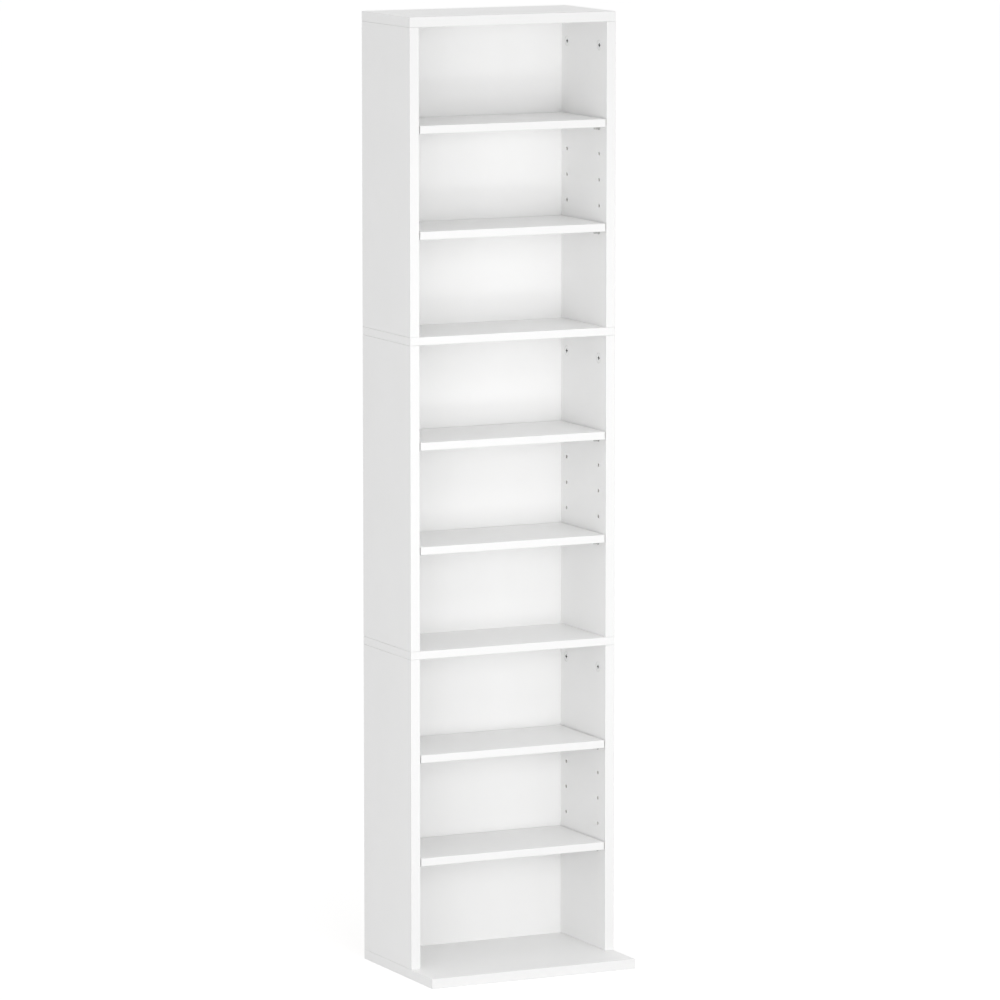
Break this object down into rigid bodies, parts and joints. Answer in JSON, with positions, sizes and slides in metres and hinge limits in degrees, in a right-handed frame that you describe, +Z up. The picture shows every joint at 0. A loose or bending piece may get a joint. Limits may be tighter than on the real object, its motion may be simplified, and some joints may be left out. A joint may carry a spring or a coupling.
{
  "type": "cd dvd storage tower",
  "caption": "Tall, narrow, open cabinet of stacked bays with loose shelves on steel pins for disc cases, on a base board that reaches forward as a foot.",
  "frame": {"origin": "on the floor, under the middle of the box that the whole tower fills", "axes": "+Z up, -Y out of the open front, +X to the right seen from the front"},
  "size_m": [0.334, 0.24, 1.42],
  "materials": {
    "white_board": "white foil, satin",
    "white_back": "white painted hardboard",
    "pin_steel": "nickel plated",
    "cam_zinc": "cast zinc",
    "screw_steel": "zinc plated"
  },
  "bodies": {
    "carcass": {"base_board": "white_board", "lower_divider": "white_board", "upper_divider": "white_board", "top_board": "white_board", "side_left_lower": "white_board", "side_right_lower": "white_board", "side_left_middle": "white_board", "side_right_middle": "white_board", "side_left_upper": "white_board", "side_right_upper": "white_board", "back_panel_lower": "white_back", "back_panel_middle": "white_back", "back_panel_upper": "white_back", "shelf_pin_1_left_front": "pin_steel", "shelf_pin_1_left_rear": "pin_steel", "shelf_pin_1_right_front": "pin_steel", "shelf_pin_1_right_rear": "pin_steel", "shelf_pin_2_left_front": "pin_steel", "shelf_pin_2_left_rear": "pin_steel", "shelf_pin_2_right_front": "pin_steel", "shelf_pin_2_right_rear": "pin_steel", "shelf_pin_3_left_front": "pin_steel", "shelf_pin_3_left_rear": "pin_steel", "shelf_pin_3_right_front": "pin_steel", "shelf_pin_3_right_rear": "pin_steel", "shelf_pin_4_left_front": "pin_steel", "shelf_pin_4_left_rear": "pin_steel", "shelf_pin_4_right_front": "pin_steel", "shelf_pin_4_right_rear": "pin_steel", "shelf_pin_5_left_front": "pin_steel", "shelf_pin_5_left_rear": "pin_steel", "shelf_pin_5_right_front": "pin_steel", "shelf_pin_5_right_rear": "pin_steel", "shelf_pin_6_left_front": "pin_steel", "shelf_pin_6_left_rear": "pin_steel", "shelf_pin_6_right_front": "pin_steel", "shelf_pin_6_right_rear": "pin_steel", "cam_lock_lower_left_front": "cam_zinc", "cam_lock_lower_left_rear": "cam_zinc", "cam_lock_lower_right_front": "cam_zinc", "cam_lock_lower_right_rear": "cam_zinc", "cam_lock_middle_left_front": "cam_zinc", "cam_lock_middle_left_rear": "cam_zinc", "cam_lock_middle_right_front": "cam_zinc", "cam_lock_middle_right_rear": "cam_zinc", "cam_lock_upper_left_front": "cam_zinc", "cam_lock_upper_left_rear": "cam_zinc", "cam_lock_upper_right_front": "cam_zinc", "cam_lock_upper_right_rear": "cam_zinc", "base_screw_left_front": "screw_steel", "base_screw_left_rear": "screw_steel", "base_screw_right_front": "screw_steel", "base_screw_right_rear": "screw_steel"},
    "shelf_1": {"shelf_1": "white_board"},
    "shelf_2": {"shelf_2": "white_board"},
    "shelf_3": {"shelf_3": "white_board"},
    "shelf_4": {"shelf_4": "white_board"},
    "shelf_5": {"shelf_5": "white_board"},
    "shelf_6": {"shelf_6": "white_board"}
  },
  "joints": [
    {"name": "shelf_1_slide", "type": "slide", "parent": "carcass", "child": "shelf_1", "axis": [0, -1, 0], "range_m": [0, 0.16]},
    {"name": "shelf_2_slide", "type": "slide", "parent": "carcass", "child": "shelf_2", "axis": [0, -1, 0], "range_m": [0, 0.16]},
    {"name": "shelf_3_slide", "type": "slide", "parent": "carcass", "child": "shelf_3", "axis": [0, -1, 0], "range_m": [0, 0.16]},
    {"name": "shelf_4_slide", "type": "slide", "parent": "carcass", "child": "shelf_4", "axis": [0, -1, 0], "range_m": [0, 0.16]},
    {"name": "shelf_5_slide", "type": "slide", "parent": "carcass", "child": "shelf_5", "axis": [0, -1, 0], "range_m": [0, 0.16]},
    {"name": "shelf_6_slide", "type": "slide", "parent": "carcass", "child": "shelf_6", "axis": [0, -1, 0], "range_m": [0, 0.16]}
  ]
}
